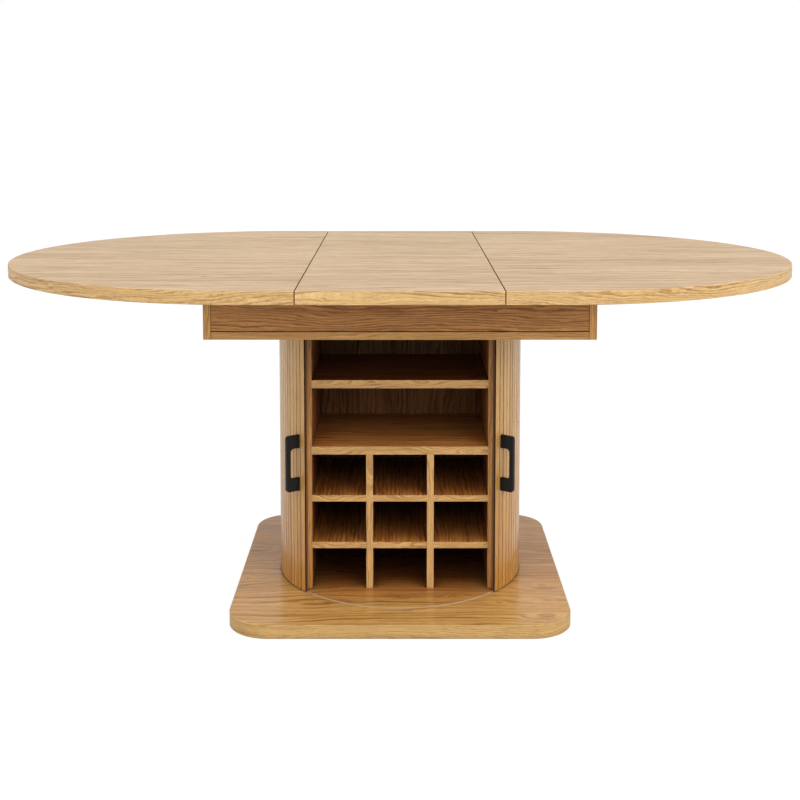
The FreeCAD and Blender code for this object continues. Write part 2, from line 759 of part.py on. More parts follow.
SCREW_STATIONS = ("batten_start + runner_screw_inset", "(batten_start + batten_end) / 2",
                  "batten_end - runner_screw_inset")
RUNNER_HOLE = "runner_screw + 2 * screw_play"


def is_rim(box, height, radius):
    """An edge of the round end or straight sides at a height and at the full reach."""
    at_height = box.ZLength < TINY and abs(box.ZMin - height) < TINY
    return at_height and abs(max(-box.YMin, box.YMax) - radius) < TINY and box.XLength > SHORT


def is_seam(box):
    """An upper edge where two pieces of the top meet."""
    return box.XLength < TINY and box.ZLength < TINY and box.YLength > SHORT and box.ZMin > SHORT


def top_half(side, turn):
    """One half of the top with its edge band, its battens' screw holes bored from below."""
    core = new_body(f"{side}_top")
    reach = "end_radius - top_band"
    pad(core, draw_half_top(new_sketch(core, "XY_Plane"), reach), "top_thickness")
    spots = grid(SCREW_STATIONS, mirrored("batten_middle"))
    depth = "runner_screw_length - batten_height + 2 * runner_head_height + screw_play"
    drill(core, "XY_Plane", RUNNER_HOLE, depth, spots, along_normal=True)
    dress(core, "Chamfer", "seam_arris", is_seam)
    place(core, z="top_under", turn=turn)
    edging = new_body(f"{side}_top_edging")
    pad(edging, draw_half_top(new_sketch(edging, "XY_Plane"), "end_radius"), "top_thickness")
    cut(edging, draw_half_top(new_sketch(edging, "XY_Plane"), reach), "top_thickness", along_normal=True)
    radius = value("end_radius")
    dress(edging, "Chamfer", "top_rim_arris",
          lambda box: is_rim(box, 0, radius) or is_rim(box, value("top_thickness"), radius))
    place(edging, z="top_under", turn=turn)


def leaf():
    """The lift-out middle board and its two edge bands."""
    body = board("leaf", "leaf_length - seam_gap", "top_width - 2 * top_band", "top_thickness",
                 z="top_under")
    dress(body, "Chamfer", "seam_arris", is_seam)
    edging = new_body("leaf_edging")
    sketch = new_sketch(edging, "YZ_Plane")
    for side in (-1, 1):
        outer, inner = f"{side} * end_radius", f"{side} * (end_radius - top_band)"
        eased = f"{side} * (end_radius - top_rim_arris)"
        draw_polygon(sketch, [(inner, "0"), (eased, "0"), (outer, "top_rim_arris"),
                              (outer, "top_thickness - top_rim_arris"), (eased, "top_thickness"),
                              (inner, "top_thickness")])
    pad(edging, sketch, "leaf_length - seam_gap", symmetric=True)
    place(edging, z="top_under")


def block(body, low, high):
    """A rectangular block added to a body, between two corners given as sums."""
    feature = body.newObject("PartDesign::AdditiveBox", body.Label + "_block")
    feature.AttachmentSupport = [(origin_feature(body, "XY_Plane"), "")]
    feature.MapMode = "FlatFace"
    for axis, side, start, end in zip("xyz", ("Length", "Width", "Height"), low, high):
        feature.setExpression(f"AttachmentOffset.Base.{axis}", bound(start))
        feature.setExpression(side, bound(f"{end} - ({start})"))
    return feature


def runner(label, side, outward, turn):
    """A slide bar in a fixed channel, joined by a web to the batten under the top.

    It is drawn for the right half, at the rear where side is 1. Its bar lies beyond the
    batten where outward is 1, and between the battens where it is -1.
    """
    body = new_body(label)

    def across(distance):
        return f"{side} * (batten_middle + {outward} * ({distance} - batten_middle))"

    def ordered(first, second):
        return (first, second) if value(first) < value(second) else (second, first)

    bar_y = ordered(across("bar_front"), across("bar_back"))
    web_y = ordered(across("batten_outer"), across("bar_front"))
    batten_y = ordered(across("batten_inner"), across("batten_outer"))
    block(body, ("-bar_overlap", bar_y[0], "channel_middle - bar_height / 2"),
          ("bar_end", bar_y[1], "channel_middle + bar_height / 2"))
    block(body, ("batten_start", web_y[0], "channel_middle - web_height / 2"),
          ("bar_end", web_y[1], "channel_middle + web_height / 2"))
    block(body, ("batten_start", batten_y[0], "batten_under"), ("batten_end", batten_y[1], "top_under"))
    spots = [(x, f"{side} * batten_middle") for x in SCREW_STATIONS]
    drill(body, "XY_Plane", RUNNER_HOLE, "batten_height", spots, "batten_under", along_normal=True)
    drill(body, "XY_Plane", "runner_screw_head + 2 * screw_play", "2 * runner_head_height", spots,
          "batten_under", along_normal=True)
    place(body, turn=turn)


def runner_screws(side, turn):
    screw = pan_screw("runner_screw", "runner_screw_length", "runner_screw_head", "runner_head_height")
    spots = grid(SCREW_STATIONS, mirrored("batten_middle"), ("batten_under + 2 * runner_head_height",))
    screws = group(f"{side}_runner_screws", [at(screw, spot) for spot in spots])
    screws.Placement = Placement(Vector(0, 0, 0), Rotation(Vector(0, 0, 1), value(turn)))


for side, turn, outward in (("left", "180", 1), ("right", "0", -1)):
    top_half(side, turn)
    front = 1 if side == "left" else -1
    runner(f"{side}_front_runner", front, outward, turn)
    runner(f"{side}_rear_runner", -front, outward, turn)
    runner_screws(side, turn)
leaf()


# ---------------------------------------------------------------- slatted doors


def bore_for_handle(body, angle):
    """Two holes from the drum's axis out through the door, at an angle from the body's own X."""
    sketch = new_sketch(body, "YZ_Plane")
    sketch.AttachmentOffset = Placement(Vector(0, 0, 0), Rotation(Vector(0, 1, 0), value(angle)))
    heights = [f"handle_middle - door_under + {up} * handle_screw_spacing / 2" for up in (-1, 1)]
    draw_circles(sketch, "handle_screw + 2 * screw_play", [("0", z) for z in heights])
    cut(body, sketch, "slat_radius + slat_thickness", along_normal=True)


def slats(label, turn, second):
    """The door's slats, each with eased outer corners and a tongue into both tracks."""
    body = new_body(label)
    section = new_sketch(body, "XY_Plane")
    draw_polygon(section, [
        ("slat_inner", "-slat_half_inner"), ("slat_radius - slat_arris", "-slat_half"),
        ("slat_radius", "slat_arris - slat_half"), ("slat_radius", "slat_half - slat_arris"),
        ("slat_radius - slat_arris", "slat_half"), ("slat_inner", "slat_half_inner")])
    slat = pad(body, section, "door_height")
    tongue_sketch = new_sketch(body, "XY_Plane", "tongue_under - door_under")
    half = "(slat_half_inner - tongue_inset)"
    draw_polygon(tongue_sketch, [("tongue_inner", f"-{half}"), ("tongue_outer", f"-{half}"),
                                 ("tongue_outer", half), ("tongue_inner", half)])
    tongue = pad(body, tongue_sketch, "tongue_height")
    pattern = body.newObject("PartDesign::PolarPattern", label + "_pattern")
    pattern.Originals = [slat, tongue]
    pattern.Axis = (origin_feature(body, "Z_Axis"), [""])
    pattern.Mode = "Spacing"
    pattern.setExpression("Offset", bound("slat_pitch"))
    pattern.setExpression("Occurrences", bound("slat_count"))
    body.Tip = pattern
    bore_for_handle(body, f"slat_pitch * ({second} - 0.5)")
    place(body, z="door_under", turn=f"{turn} + slat_pitch / 2")


def backing(label, turn, second):
    """The fabric behind the slats, which lets the door bend round the drum."""
    body = new_body(label)
    sketch = new_sketch(body, "XZ_Plane")
    draw_polygon(sketch, [("backing_inner", "0"), ("backing_outer", "0"),
                          ("backing_outer", "door_height"), ("backing_inner", "door_height")])
    turned = body.newObject("PartDesign::Revolution", label + "_turned")
    turned.Profile = sketch
    turned.ReferenceAxis = (origin_feature(body, "Z_Axis"), [""])
    turned.setExpression("Angle", bound("door_span"))
    bore_for_handle(body, f"slat_pitch * {second}")
    place(body, z="door_under", turn=turn)


def bumper(label, side):
    """The soft strip on the door's leading edge."""
    body = board(label, "slat_thickness - 2 * bumper_inset", "bumper_thickness", "door_height")
    middle = f"({side} * door_opening - 90)"
    outward = "(slat_inner + slat_thickness / 2)"
    inward = f"({side} * bumper_thickness / 2)"
    place(body, f"{outward} * cos({middle}) + {inward} * sin({middle})",
          f"{outward} * sin({middle}) - {inward} * cos({middle})", "door_under", turn=middle)


def handle(label, side):
    """A bow handle with solid feet, threaded from behind."""
    body = new_body(label)
    sketch = new_sketch(body, "XZ_Plane")
    grip = "handle_reach - handle_grip"
    draw_polygon(sketch, [
        ("0", "0"), ("handle_reach", "0"), ("handle_reach", "handle_height"), ("0", "handle_height"),
        ("0", "handle_height - handle_foot"), (grip, "handle_height - handle_foot"),
        (grip, "handle_foot"), ("0", "handle_foot")])
    pad(body, sketch, "handle_width", symmetric=True)
    reach, inner = value("handle_reach"), value(grip)

    def runs_across(box, distance):
        return box.YLength > SHORT and box.ZLength < TINY and abs(box.XMin - distance) < TINY

    dress(body, "Fillet", "handle_outer_round", lambda box: runs_across(box, reach))
    dress(body, "Fillet", "handle_inner_round", lambda box: runs_across(box, inner))
    dress(body, "Chamfer", "handle_arris",
          lambda box: box.XMax > SHORT and box.YLength < TINY)
    spots = [("0", f"handle_height / 2 + {up} * handle_screw_spacing / 2") for up in (-1, 1)]
    drill(body, "YZ_Plane", "handle_screw + 2 * screw_play",
          "handle_screw_length - (slat_radius - backing_inner) + screw_play", spots,
          along_normal=True)
    angle = f"({side} * handle_angle - 90)"
    place(body, f"slat_radius * cos({angle})", f"slat_radius * sin({angle})", "handle_under", turn=angle)


def handle_screws(label, side):
    screw = pan_screw("handle_screw", "handle_screw_length", "handle_screw_head", "handle_head_height")
    angle = f"({side} * handle_angle - 90)"
    outward = Vector(value(f"cos({angle})"), value(f"sin({angle})"), 0)
    seat = "sqrt(backing_inner ^ 2 - handle_screw_head ^ 2 / 4)"
    spots = [(f"{seat} * cos({angle})", f"{seat} * sin({angle})",
              f"handle_middle + {up} * handle_screw_spacing / 2") for up in (-1, 1)]
    group(label, [at(screw, spot, outward) for spot in spots])


for name, side, start, second in (("left", -1, "270 - door_opening - door_span", "(slat_count - 1.5)"),
                                  ("right", 1, "270 + door_opening", "1.5")):
    slats(f"{name}_door_slats", start, second)
    backing(f"{name}_door_backing", start, second)
    bumper(f"{name}_door_bumper", side)
    handle(f"{name}_door_handle", side)
    handle_screws(f"{name}_handle_screws", side)


# ---------------------------------------------------------------- checks and export

doc.recompute()
for item in doc.Objects:
    if {"Invalid", "Error"} & set(item.State):
        raise RuntimeError(f"{item.Label} is {item.State}")

sub_parts = [item for item in doc.Objects if item.TypeId in ("PartDesign::Body", "Part::Feature")]
for item in sub_parts:
    if item.Shape.isNull() or not item.Shape.isValid():
        raise RuntimeError(f"{item.Label} has no valid shape")

os.makedirs("parts", exist_ok=True)
for item in sub_parts:
    item.Shape.exportStep(f"parts/{item.Label}.step")
print(len(sub_parts), "sub-parts")
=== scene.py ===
"""Looks of an extension dining table on a round storage cabinet, in metres.

X runs along the table, the cabinet opens towards -Y and Z is up.
"""

import math

import bpy
import bmesh
from mathutils import Matrix, Vector


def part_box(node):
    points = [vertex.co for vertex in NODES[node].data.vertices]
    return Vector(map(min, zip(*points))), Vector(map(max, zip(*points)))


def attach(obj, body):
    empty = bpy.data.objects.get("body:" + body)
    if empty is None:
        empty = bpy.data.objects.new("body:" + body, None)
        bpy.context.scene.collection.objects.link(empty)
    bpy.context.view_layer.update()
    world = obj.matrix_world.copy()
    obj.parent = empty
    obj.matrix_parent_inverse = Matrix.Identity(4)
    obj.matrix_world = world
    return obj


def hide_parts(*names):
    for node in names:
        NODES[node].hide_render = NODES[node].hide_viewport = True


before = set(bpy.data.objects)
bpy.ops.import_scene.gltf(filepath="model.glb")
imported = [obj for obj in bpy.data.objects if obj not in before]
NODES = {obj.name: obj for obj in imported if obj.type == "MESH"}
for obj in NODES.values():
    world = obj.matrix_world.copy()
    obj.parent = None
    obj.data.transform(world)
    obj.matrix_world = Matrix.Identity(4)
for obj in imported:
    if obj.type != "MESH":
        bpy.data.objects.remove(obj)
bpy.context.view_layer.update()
SCENE = bpy.context.scene

# Camera: a pinhole whose picture is a square of this many pixels
PICTURE_SIDE = 800
FOCAL_PIXELS = 1282.0
SENSOR_MM = 36
CAMERA_DISTANCE = 2.943
CAMERA_HEIGHT = 1.104
CAMERA_PITCH = 4.88  # degrees down
CAMERA_SHIFT = -0.23

# Light
FRONT_SKY, REAR_SKY = 1.85, 0.3
SKY_TURN = 0.12  # how far the brightest sky lies to the right of the front
KEY_PLACE, KEY_AIM = Vector((2.4, -3.4, 2.4)), Vector((0, 0, 0.4))
KEY_WIDTH, KEY_HEIGHT = 2.6, 2.0
KEY_POWER = 52

# Floor
FLOOR_ALBEDO = 0.45
FLOOR_SHARE = 0.2  # how much of the floor's look is lit, and shows the shadow
FLOOR_GLOW = 0.95
FLOOR_HALF = 40

# Places on the CAD
DRUM_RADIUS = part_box("right_door_slats")[1].x
APRON_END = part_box("apron_front_rail")[1].x
RAIL_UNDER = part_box("apron_front_rail")[0].z
APRON_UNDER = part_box("apron_bottom_board")[0].z
SEAM = (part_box("leaf")[1].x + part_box("right_top")[0].x) / 2
TOP_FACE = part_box("leaf")[1].z
BASE_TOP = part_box("base_plate")[1].z
TOP_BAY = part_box("upper_shelf")[1].z
BAY_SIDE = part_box("right_side_panel")[0].x
BAY_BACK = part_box("back_panel")[0].y
RACK_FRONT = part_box("right_rack_divider")[0].y

DOOR_OPENING = math.radians(48.8)  # from the front to each door's first slat
SLAT_PITCH = math.radians(3.12)
SLAT_WIDTH = SLAT_PITCH * DRUM_RADIUS


# ---------------------------------------------------------------- node helpers


def node(tree, kind, inputs=None, **settings):
    """A shader node with its settings, each input linked to a socket or given a value."""
    made = tree.nodes.new("ShaderNode" + kind)
    for name, setting in settings.items():
        setattr(made, name, setting)
    for name, given in (inputs or {}).items():
        if isinstance(given, bpy.types.NodeSocket):
            tree.links.new(given, made.inputs[name])
        else:
            made.inputs[name].default_value = given
    return made


def calc(tree, operation, *values, clamp=False):
    """The result of a Math node."""
    inputs = dict(enumerate(values))
    return node(tree, "Math", inputs, operation=operation, use_clamp=clamp).outputs[0]


def vector_calc(tree, operation, *vectors):
    """The result of a Vector Math node."""
    return node(tree, "VectorMath", dict(enumerate(vectors)), operation=operation).outputs[0]


def scaled(tree, vector, factor):
    """A vector or colour times a number."""
    return node(tree, "VectorMath", {0: vector, 3: factor}, operation="SCALE").outputs[0]


def joined(tree, *parts):
    """A vector from three numbers or sockets."""
    return node(tree, "CombineXYZ", dict(enumerate(parts))).outputs[0]


def noise(tree, vector, along, across, detail, roughness=0.5):
    """A noise of one fineness along X, where wood has its grain, and another across it."""
    stretched = vector_calc(tree, "MULTIPLY", vector, (along, across, across))
    inputs = {"Vector": stretched, "Scale": 1.0, "Detail": detail, "Roughness": roughness}
    return node(tree, "TexNoise", inputs).outputs["Fac"]


def remap(tree, factor, low, high, to_low=0.0, to_high=1.0):
    """A factor's span low to high turned into to_low to to_high, and held there."""
    inputs = {"Value": factor, "From Min": low, "From Max": high, "To Min": to_low,
              "To Max": to_high}
    return node(tree, "MapRange", inputs).outputs["Result"]


def blend(tree, factor, first, second):
    """Two colours mixed."""
    return node(tree, "Mix", {0: factor, 6: first, 7: second}, data_type="RGBA").outputs[2]


def bump(tree, height, distance):
    """A normal for a surface whose height varies by up to a distance."""
    return node(tree, "Bump", {"Height": height, "Distance": distance}).outputs[0]


def turn_from_front(tree, x, y):
    """The angle round the middle of the table, from the front, positive to the right."""
    return calc(tree, "ARCTAN2", x, calc(tree, "MULTIPLY", y, -1.0))


def from_middle(tree, x, y):
    """The distance from the upright line through the middle of the table."""
    return calc(tree, "SQRT", calc(tree, "ADD", calc(tree, "MULTIPLY", x, x),
                                   calc(tree, "MULTIPLY", y, y)))


def new_material(name):
    """An empty material and its node tree."""
    material = bpy.data.materials.new(name)
    material.use_nodes = True
    material.node_tree.nodes.clear()
    return material, material.node_tree


def finish_material(tree, **sockets):
    """A Principled shader at the material's output; names use _ for a space."""
    inputs = {name.replace("_", " "): given for name, given in sockets.items()}
    shader = node(tree, "BsdfPrincipled", inputs)
    node(tree, "OutputMaterial", {"Surface": shader.outputs[0]})


# ---------------------------------------------------------------- oak grain

# The node group's sockets: which way they go, their kind and their names
GRAIN_SOCKETS = (("INPUT", "Vector", ("Vector",)), ("INPUT", "Color", ("Light", "Middle", "Dark")),
                 ("INPUT", "Float", ("Figure", "Streaks", "Flecks")),
                 ("OUTPUT", "Color", ("Color",)), ("OUTPUT", "Float", ("Tone", "Height")))

# Noise patterns: how fine they are along and across the grain, their detail and their roughness
SLOW_BEND = (0.7, 0.13, 1.5)
WOBBLE = (3.0, 0.6, 3.0)
RING_FADING = (0.9, 0.35, 2.0)
BROAD = (0.45, 0.16, 2.0)
BANDS = (1.1, 0.9, 4.0, 0.6)
FIBRE = (3.5, 5.0, 3.0, 0.65)
DASHES = (5.0, 4.0, 2.0)
PORES = (12.0, 18.0, 1.0)

WOBBLE_RINGS = 1.6  # how many rings the wobble bends the grain by
RING_TILT = 0.6  # how many rings one step along Z counts for
RING_ENDS = 0.15  # how much late wood there is where a ring begins and ends
RING_STOPS = ((0.1, 0.0), (0.38, 0.6), (0.85, 1.0))  # places in a ring, and its late wood there
LATE_MIDDLE = 0.6  # the late wood that leaves the tone as it is
FADING_SPAN = (0.35, 0.65, 0.1, 1.0)  # from and to in the noise, and the contrast of rings there
# How much each pattern moves the tone
BROAD_SHARE, BANDS_SHARE, RINGS_SHARE, FIBRE_SHARE = 0.8, 1.3, 0.8, 1.6

EARLY_FLECKS = 0.12  # how much sooner flecks and pores come in early wood
# Where in their noise flecks and pores begin, and where they are full
FLECK_SPAN = (0.62, 0.76)
PORE_SPAN = (0.60, 0.72)
PORE_DARKNESS = 0.5
FIBRE_HEIGHT, PORE_HEIGHT = 0.35, -0.8
GRAIN_DEPTH = 0.00015


def swing(tree, factor):
    """A noise with its middle at zero."""
    return calc(tree, "SUBTRACT", factor, 0.5)


def grain_bend(tree, vector, figure):
    """How far, in rings, the growth rings are bent at each place."""
    slow = calc(tree, "MULTIPLY", swing(tree, noise(tree, vector, *SLOW_BEND)), figure)
    wobble = swing(tree, noise(tree, vector, *WOBBLE))
    return calc(tree, "MULTIPLY_ADD", wobble, WOBBLE_RINGS, slow)


def late_wood(tree, phase):
    """Dark, porous early wood at the start of each ring, paler late wood after it."""
    ring = node(tree, "ValToRGB", {0: calc(tree, "FRACT", phase)})
    stops = ring.color_ramp.elements
    stops[0].color = stops[1].color = (RING_ENDS, RING_ENDS, RING_ENDS, 1.0)
    for position, level in RING_STOPS:
        stops.new(position).color = (level, level, level, 1.0)
    return ring.outputs["Color"]


def grain_tone(tree, wood, late, fibre, streaks):
    """How pale the wood is at each place: 0 for the darkest, 1 for the palest."""
    contrast = remap(tree, noise(tree, wood, *RING_FADING), *FADING_SPAN)
    rings = calc(tree, "MULTIPLY", calc(tree, "SUBTRACT", late, LATE_MIDDLE), contrast)
    tone = calc(tree, "MULTIPLY", swing(tree, noise(tree, wood, *BROAD)), BROAD_SHARE)
    for part, share in ((swing(tree, noise(tree, wood, *BANDS)), BANDS_SHARE),
                        (rings, RINGS_SHARE), (swing(tree, fibre), FIBRE_SHARE)):
        tone = calc(tree, "MULTIPLY_ADD", part, share, tone)
    return calc(tree, "MULTIPLY_ADD", tone, streaks, 0.5, clamp=True)


def oak_group():
    """Oak grain.

    The vector's X counts lengths of figure along the wood, and Y counts rings, as Z does in part.
    """
    tree = bpy.data.node_groups.new("oak_grain", "ShaderNodeTree")
    for way, kind, names in GRAIN_SOCKETS:
        for name in names:
            tree.interface.new_socket(name, in_out=way, socket_type="NodeSocket" + kind)
    given = tree.nodes.new("NodeGroupInput").outputs
    bend = grain_bend(tree, given["Vector"], given["Figure"])
    wood = vector_calc(tree, "ADD", given["Vector"], joined(tree, 0.0, bend, 0.0))
    apart = node(tree, "SeparateXYZ", {0: wood}).outputs
    late = late_wood(tree, calc(tree, "MULTIPLY_ADD", apart["Z"], RING_TILT, apart["Y"]))
    fibre = noise(tree, wood, *FIBRE)
    tone = grain_tone(tree, wood, late, fibre, given["Streaks"])
    shade = blend(tree, remap(tree, tone, 0.0, 0.5), given["Dark"], given["Middle"])
    shade = blend(tree, remap(tree, tone, 0.5, 1.0), shade, given["Light"])

    early = calc(tree, "MULTIPLY", calc(tree, "SUBTRACT", 1.0, late), EARLY_FLECKS)
    dashes = calc(tree, "ADD", noise(tree, wood, *DASHES), early)
    flecks = remap(tree, dashes, *FLECK_SPAN, 0.0, given["Flecks"])
    pores = remap(tree, calc(tree, "ADD", noise(tree, wood, *PORES), early), *PORE_SPAN)
    shade = blend(tree, flecks, shade, given["Dark"])
    shade = blend(tree, calc(tree, "MULTIPLY", pores, PORE_DARKNESS), shade, given["Dark"])
    height = calc(tree, "MULTIPLY_ADD", fibre, FIBRE_HEIGHT,
                  calc(tree, "MULTIPLY", pores, PORE_HEIGHT))
    result = tree.nodes.new("NodeGroupOutput")
    for name, socket in (("Color", shade), ("Tone", tone), ("Height", height)):
        tree.links.new(socket, result.inputs[name])
    return tree


OAK = oak_group()


# ---------------------------------------------------------------- which way the grain runs

BASE_RING, TOP_RING = 0.43, 0.70  # mean distance from the middle, for grain that runs round an edge
ROUND_DEPTH = 0.2  # how quickly the grain of a round edge changes with depth
SLAT_STEP = 3.71  # how many metres the grain moves on from slat to slat
# Which of a place's X, Y and Z runs along the grain, which across it and which is the third
STRAIGHT_GRAINS = {"x": "XYZ", "x_upright": "XZY", "y": "YXZ", "y_upright": "YZX", "z": "ZXY"}


def slat_place(tree, x, y):
    """Which slat of a door a place is on, and how far across it, both counted in slats."""
    turned = calc(tree, "ABSOLUTE", turn_from_front(tree, x, y))
    counted = calc(tree, "DIVIDE", calc(tree, "SUBTRACT", turned, DOOR_OPENING), SLAT_PITCH)
    return calc(tree, "FLOOR", counted), calc(tree, "FRACT", counted)


def at_apron_end(tree, x):
    """One on the strips at the apron's two ends, zero between them."""
    return calc(tree, "GREATER_THAN", calc(tree, "ABSOLUTE", x), APRON_END)


def grain_vector(tree, way, place):
    """A place's coordinates turned so that X runs along the grain."""
    x, y, z = place["X"], place["Y"], place["Z"]
    if way == "slat":
        slat, across = slat_place(tree, x, y)
        return joined(tree, calc(tree, "MULTIPLY_ADD", slat, SLAT_STEP, z),
                      calc(tree, "MULTIPLY", calc(tree, "ADD", slat, across), SLAT_WIDTH), 0.0)
    if way in ("round_top", "round_base"):
        ring = TOP_RING if way == "round_top" else BASE_RING
        run = calc(tree, "MULTIPLY", turn_from_front(tree, x, y), ring)
        return joined(tree, run, z,
                      calc(tree, "MULTIPLY", from_middle(tree, x, y), ROUND_DEPTH))
    if way == "apron_band":
        return blend(tree, at_apron_end(tree, x), joined(tree, x, z, y), joined(tree, z, x, y))
    return joined(tree, *(place[axis] for axis in STRAIGHT_GRAINS[way]))


# ---------------------------------------------------------------- oak finishes

# Middle colour of each finish, and what its palest and darkest wood make of it. The back and
# cabinet tones are darker than the rest, partly as painted shade of the cabinet's deep inside.
TONES = {
    "top": (0.575, 0.385, 0.20),
    "edge": (0.62, 0.395, 0.162),
    "apron": (0.47, 0.215, 0.058),
    "apron_band": (0.53, 0.28, 0.085),
    "cabinet": (0.50, 0.19, 0.045),
    "shelf": (0.82, 0.335, 0.082),
    "board": (0.68, 0.27, 0.058),
    "back": (0.37, 0.165, 0.053),
    "side_band": (0.64, 0.31, 0.097),
    "band": (0.585, 0.34, 0.122),
    "slat": (0.695, 0.410, 0.126),
    "base": (0.685, 0.385, 0.117),
    "base_edge": (0.575, 0.352, 0.126),
}
PALEST = Vector((1.20, 1.24, 1.30))
DARKEST = Vector((0.52, 0.42, 0.32))
OFFSET_STEP = Vector((13.7, 53.1, 21.7))  # how far the grain moves on with each index
SLAT_BRIGHTNESS = (0.86, 1.08)  # of the darkest slat and of the palest
TONE_ROUGHNESS = (0.08, -0.04)  # added to the roughness of the darkest wood and of the palest

# Tints, which a colour is multiplied by
PAINTED_DEEP_SHADE = (0.26, 0.22, 0.22)  # painted deep shade
STAIN_AND_CREVICE_SHADE = (0.33, 0.20, 0.10)  # joint lines and the hearts of knots, and painted shade in crevices
BAY_FLOOR_TONE_AND_SHADE = (0.86, 0.62, 0.50)  # the base board inside the cabinet and just in front of the rack: redder like the cabinet's wood, and darker with painted shade
END_STRIP = (1.18, 1.19, 1.18)  # the paler strips at the apron's ends
# Painted shade and light along an axis: which, where there is none, where it is full, and the tint
# Painted light and shade on the drum's lower slats: darker and warmer towards the base, for its
# bounced light
SLAT_PAINTED_BOUNCE = (("Z", BASE_TOP + 0.50, BASE_TOP + 0.05, (0.74, 0.60, 0.37)),)
# Painted shade on the side bands under the apron, and painted warm bounce light near the base
BAND_PAINTED_LIGHT_AND_SHADE = (("Z", APRON_UNDER - 0.29, APRON_UNDER, (0.66, 0.65, 0.67)),
              ("Z", BASE_TOP + 0.15, BASE_TOP, (0.86, 0.76, 0.62)))
# Painted shade on the back of the top bay, under the apron
BACK_PAINTED_SHADE = (("Z", TOP_BAY, TOP_BAY + 0.005, (0.60, 0.72, 0.85)),)
# Painted shadow of the table top, darkening the base board towards its rear
BASE_PAINTED_SHADOW = (("Y", -0.33, 0.11, (0.75, 0.67, 0.57)),)
# Painted shade along the foot of the base's edging
FOOT_PAINTED_SHADE = (("Z", 0.014, 0.006, (0.84, 0.83, 0.80)),)
# Where the redder tint and painted shade of the base board inside the cabinet begin and where they
# are full
BAY_ASIDE = (BAY_SIDE + 0.03, BAY_SIDE - 0.05)
BAY_ALONG = (RACK_FRONT - 0.11, RACK_FRONT)

# Painted shade where the wood is closed in: how far off walls count, and the share of open sky at
# which it is darkest and at which it begins to darken
CREVICE = (0.008, 0.15, 0.8)
WALL_GLOOM = (0.30, 0.15, 0.60)
BACK_GLOOM = (0.30, 0.21, 0.42)
BOARD_GLOOM = (0.13, 0.29, 0.40)
SHELF_GLOOM = (0.30, 0.0, 0.42)
TOP_SHELF_GLOOM = (0.30, 0.42, 0.90)
BASE_GLOOM = (0.30, 0.24, 0.40)
SKY_SAMPLES = 6

# Dark lines: how far from their middle they are full, and how far they reach
SEAM_LINE = (0.0008, 0.0014)
APRON_END_LINE = (0.0002, 0.001)
RAIL_LINE = (0.0004, 0.0018)
SLAT_LINE = (0.0005, 0.0016)
SLAT_LINE_DARKNESS = 0.6
SEAM_DEPTH = 0.0015  # how far down the sides of the boards of the top a seam's line goes

# Knots in the base board: where, and how far across the grain they bend it
KNOTS = ((-0.344, 0.079, 0.030), (0.324, -0.160, 0.032), (0.310, -0.325, 0.026))
KNOT_STRETCH = 2.4  # how much further they bend it along the grain
KNOT_RINGS = 1.5  # how many rings they bend it by
KNOT_HEART = 0.80  # how near the middle, from 0 to 1, their dark heart begins
KNOT_DARKNESS = 0.4


def tinted(tree, colour, amount, tint):
    """A colour multiplied by a tint, as far as an amount from 0 to 1 says."""
    return blend(tree, amount, colour, vector_calc(tree, "MULTIPLY", colour, tint))


def closeness(tree, distance, full, none):
    """How closed in a place is: one where open sky is down to full, zero where it is up to none."""
    open_sky = node(tree, "AmbientOcclusion", {"Distance": distance}, samples=SKY_SAMPLES)
    return remap(tree, open_sky.outputs["AO"], full, none, 1.0, 0.0)


def near_line(tree, coordinate, place, full, none):
    """One at a dark edge line that runs at one value of a coordinate, zero away from it."""
    away = calc(tree, "ABSOLUTE", calc(tree, "SUBTRACT", coordinate, place))
    return remap(tree, away, full, none, 1.0, 0.0)


def edge_lines(tree, kind, x, y, z):
    """Dark lines of the kind slat, apron, seam or seam_top: one on them, zero elsewhere."""
    if kind == "slat":
        across = slat_place(tree, x, y)[1]
        to_edge = calc(tree, "MULTIPLY", calc(tree, "PINGPONG", across, 0.5), SLAT_WIDTH)
        return remap(tree, to_edge, *SLAT_LINE, SLAT_LINE_DARKNESS, 0.0)
    aside = calc(tree, "ABSOLUTE", x)
    if kind == "apron":
        upright = near_line(tree, aside, APRON_END, *APRON_END_LINE)
        under = calc(tree, "MULTIPLY", near_line(tree, z, RAIL_UNDER, *RAIL_LINE),
                     calc(tree, "LESS_THAN", aside, APRON_END))
        return calc(tree, "MAXIMUM", upright, under)
    seam = near_line(tree, aside, SEAM, *SEAM_LINE)
    if kind == "seam":
        return seam
    return calc(tree, "MULTIPLY", seam, calc(tree, "GREATER_THAN", z, TOP_FACE - SEAM_DEPTH))


def knots(tree, x, y):
    """How near a knot of the base board a place is: one at its heart, zero beyond its reach."""
    nearest = 0.0
    for knot_x, knot_y, reach in KNOTS:
        along = calc(tree, "DIVIDE", calc(tree, "SUBTRACT", x, knot_x), reach * KNOT_STRETCH)
        across = calc(tree, "DIVIDE", calc(tree, "SUBTRACT", y, knot_y), reach)
        away = calc(tree, "MULTIPLY_ADD", along, along, calc(tree, "MULTIPLY", across, across))
        nearest = calc(tree, "MAXIMUM", nearest, remap(tree, away, 0.0, 1.0, 1.0, 0.0))
    return nearest


def inside_cabinet(tree, x, y):
    """One on the base board inside the cabinet, zero well outside it."""
    across = remap(tree, calc(tree, "ABSOLUTE", x), *BAY_ASIDE)
    along = calc(tree, "MULTIPLY", remap(tree, y, *BAY_ALONG),
                 calc(tree, "LESS_THAN", y, BAY_BACK))
    return calc(tree, "MULTIPLY", across, along)


def slat_brightness(tree, x, y):
    """A factor that differs from slat to slat."""
    slat = slat_place(tree, x, y)[0]
    chance = node(tree, "TexWhiteNoise", {"W": slat}, noise_dimensions="1D").outputs["Value"]
    return remap(tree, chance, 0.0, 1.0, *SLAT_BRIGHTNESS)


